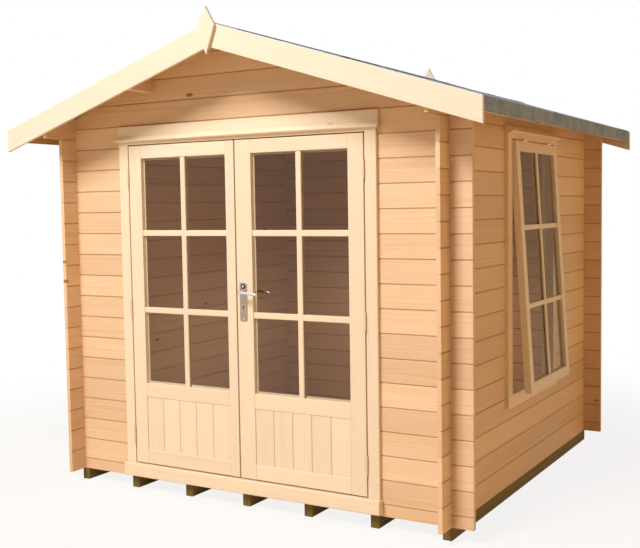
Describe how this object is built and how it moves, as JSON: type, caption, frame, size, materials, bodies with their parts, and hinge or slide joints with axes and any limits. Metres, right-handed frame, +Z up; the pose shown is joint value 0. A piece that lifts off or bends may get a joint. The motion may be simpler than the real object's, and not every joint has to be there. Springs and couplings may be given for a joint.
{
  "type": "garden room",
  "caption": "Timber garden room of interlocking logs with glazed double doors, a side window and a felted apex roof.",
  "frame": {"origin": "middle of the overall footprint at ground level, under the roof's whole length and width", "axes": "+Z up, +X to the right along the door side, the doors face -Y"},
  "size_m": [2.72, 2.554, 2.4438],
  "materials": {
    "log_pine": "planed softwood, honey coloured",
    "board_pine": "planed softwood boards",
    "joinery_pine": "planed pale softwood",
    "treated_timber": "sawn, pressure treated, olive green",
    "roof_felt": "mineral felt, blue grey",
    "glazing": "clear",
    "steel": "satin"
  },
  "bodies": {
    "building": {"bearers": "treated_timber", "floor": "board_pine", "front_base_log": "log_pine", "front_wall_left": "log_pine", "front_wall_right": "log_pine", "front_gable": "log_pine", "back_wall": "log_pine", "back_gable": "log_pine", "left_wall": "log_pine", "left_top_log": "log_pine", "right_wall_lower": "log_pine", "right_wall_front": "log_pine", "right_wall_rear": "log_pine", "right_top_log": "log_pine", "threshold": "joinery_pine", "door_jamb_left": "joinery_pine", "door_jamb_right": "joinery_pine", "door_head": "joinery_pine", "door_hood": "joinery_pine", "frame_hinges": "steel", "window_frame": "joinery_pine", "window_cap": "joinery_pine", "casement_frame": "joinery_pine", "casement_glass": "glazing", "casement_hinges": "steel", "casement_stay": "steel", "purlins": "log_pine", "roof_left": "board_pine", "roof_right": "board_pine", "felt_left": "roof_felt", "felt_right": "roof_felt", "eave_battens": "board_pine", "front_barge_left": "joinery_pine", "front_barge_right": "joinery_pine", "rear_barge_left": "joinery_pine", "rear_barge_right": "joinery_pine", "finials": "joinery_pine"},
    "left_door": {"left_door_frame": "joinery_pine", "left_door_glass": "glazing", "left_door_panel": "board_pine", "left_door_hinges": "steel"},
    "right_door": {"right_door_frame": "joinery_pine", "right_door_glass": "glazing", "right_door_panel": "board_pine", "right_door_hinges": "steel", "lock_plates": "steel"},
    "lever": {"lever_handle": "steel"}
  },
  "joints": [
    {"name": "left_door_hinge", "type": "hinge", "parent": "building", "child": "left_door", "pos_m": [-0.702, -1.0475, 0.9], "axis": [0, 0, -1], "range_deg": [0, 110]},
    {"name": "right_door_hinge", "type": "hinge", "parent": "building", "child": "right_door", "pos_m": [0.702, -1.0475, 0.9], "axis": [0, 0, 1], "range_deg": [0, 110]},
    {"name": "lever_turn", "type": "hinge", "parent": "right_door", "child": "lever", "pos_m": [0.0215, -1.041, 1.088], "axis": [0, 1, 0], "range_deg": [0, 40], "stiffness_Nm_per_rad": 0.8, "springref_deg": -34.38}
  ]
}
